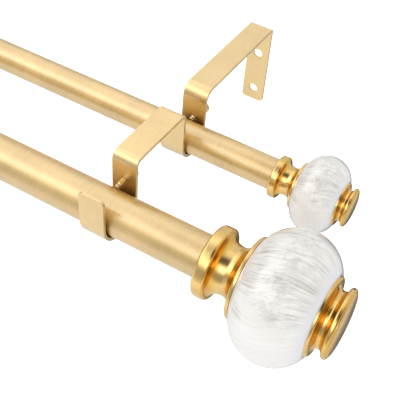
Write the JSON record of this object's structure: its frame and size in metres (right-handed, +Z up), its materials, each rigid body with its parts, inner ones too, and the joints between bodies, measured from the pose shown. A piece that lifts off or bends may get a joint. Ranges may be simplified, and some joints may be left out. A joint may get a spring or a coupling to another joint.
{
  "type": "double curtain pole",
  "caption": "Double curtain pole: a thick front rod and a thin rear rod on bent strip wall brackets, with turned gold finials that hold white streaked balls.",
  "frame": {"origin": "on the wall plane, half way between the two brackets and half way between their upper and lower screw holes", "axes": "+X along the rods towards the right end as seen from the room, +Y out of the brackets' backs into the wall, +Z up"},
  "size_m": [0.95, 0.213, 0.074],
  "materials": {
    "satin_gold_rod": "satin light gold on a steel tube",
    "satin_gold_strip": "satin light gold on a steel strip",
    "gold_screw": "gold plated steel",
    "polished_gold": "polished warm gold",
    "white_resin": "cast white resin with fine pale grey strands under a clear glossy skin",
    "plated_steel": "zinc plated",
    "white_plastic": "moulded"
  },
  "bodies": {
    "pole": {"front_rod": "satin_gold_rod", "rear_rod": "satin_gold_rod", "left_bracket": "satin_gold_strip", "right_bracket": "satin_gold_strip", "left_front_finial_collar": "polished_gold", "left_front_finial_ball": "white_resin", "left_front_finial_cap": "polished_gold", "left_front_finial_stud": "plated_steel", "left_front_rod_plug": "white_plastic", "right_front_finial_collar": "polished_gold", "right_front_finial_ball": "white_resin", "right_front_finial_cap": "polished_gold", "right_front_finial_stud": "plated_steel", "right_front_rod_plug": "white_plastic", "left_rear_finial_collar": "polished_gold", "left_rear_finial_ball": "white_resin", "left_rear_finial_cap": "polished_gold", "left_rear_finial_stud": "plated_steel", "left_rear_rod_plug": "white_plastic", "right_rear_finial_collar": "polished_gold", "right_rear_finial_ball": "white_resin", "right_rear_finial_cap": "polished_gold", "right_rear_finial_stud": "plated_steel", "right_rear_rod_plug": "white_plastic"},
    "left_front_screw": {"left_front_clamp_screw": "gold_screw"},
    "left_rear_screw": {"left_rear_clamp_screw": "gold_screw"},
    "right_front_screw": {"right_front_clamp_screw": "gold_screw"},
    "right_rear_screw": {"right_rear_clamp_screw": "gold_screw"}
  },
  "joints": [
    {"name": "left_front_clamp", "type": "slide", "parent": "pole", "child": "left_front_screw", "axis": [0, 1, 0], "range_m": [0, 0.007]},
    {"name": "left_rear_clamp", "type": "slide", "parent": "pole", "child": "left_rear_screw", "axis": [0, 1, 0], "range_m": [0, 0.0024]},
    {"name": "right_front_clamp", "type": "slide", "parent": "pole", "child": "right_front_screw", "axis": [0, 1, 0], "range_m": [0, 0.007]},
    {"name": "right_rear_clamp", "type": "slide", "parent": "pole", "child": "right_rear_screw", "axis": [0, 1, 0], "range_m": [0, 0.0024]}
  ]
}
